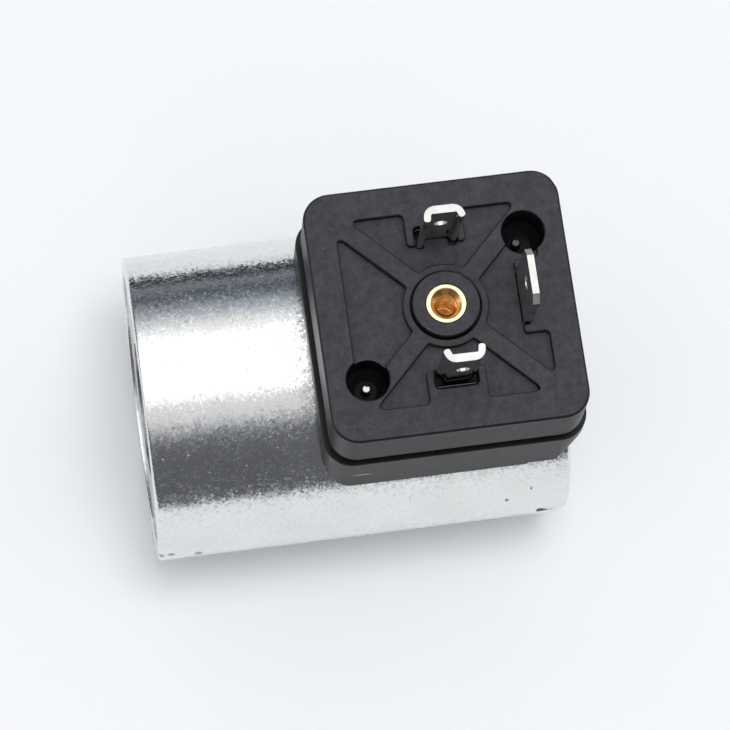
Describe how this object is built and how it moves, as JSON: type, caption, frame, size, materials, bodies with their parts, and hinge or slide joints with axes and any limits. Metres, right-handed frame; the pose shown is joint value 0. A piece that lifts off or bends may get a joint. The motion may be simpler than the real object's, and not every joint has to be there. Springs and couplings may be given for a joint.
{
  "type": "solenoid valve coil",
  "caption": "Cylindrical steel-cased solenoid coil with a through bore and a square black plug face on top, carrying flat blades and a brass threaded insert.",
  "frame": {"origin": "middle of the bore, halfway along the coil", "axes": "+X along the bore towards the end under the connector, +Z out of the plug face, and +Y towards contact 1"},
  "size_m": [0.0508, 0.037, 0.0581],
  "materials": {
    "zinc_plated_steel": "bright zinc plating with a fine mottle and handling marks",
    "pole_steel": "turned steel with bright zinc plating",
    "bobbin_nylon": "glass filled nylon",
    "copper_wire": "enamelled copper wire",
    "polyester_tape": "polyester film tape",
    "cast_resin": "cast resin",
    "black_moulding": "fine spark-eroded black moulding",
    "seal_rubber": "matt black rubber",
    "insert_brass": "turned brass with a cut thread",
    "tinned_brass": "stamped blade with bright tin plating",
    "strap_brass": "stamped brass strip",
    "lead_copper": "bare copper wire",
    "red_sleeve": "extruded sleeve",
    "black_sleeve": "extruded sleeve",
    "solder": "bright solder"
  },
  "bodies": {
    "root": {"housing_tube": "zinc_plated_steel", "left_pole_ring": "pole_steel", "right_pole_ring": "pole_steel", "bobbin": "bobbin_nylon", "winding": "copper_wire", "winding_tape": "polyester_tape", "potting": "cast_resin", "connector_base": "black_moulding", "plate_seal": "seal_rubber", "terminal_plate": "black_moulding", "thread_insert": "insert_brass", "contact_1": "tinned_brass", "contact_2": "tinned_brass", "earth_contact": "tinned_brass", "earth_strap": "strap_brass", "lead_1": "lead_copper", "lead_2": "lead_copper", "lead_sleeve_1": "red_sleeve", "lead_sleeve_2": "black_sleeve", "solder_joint_1": "solder", "solder_joint_2": "solder"}
  },
  "joints": []
}
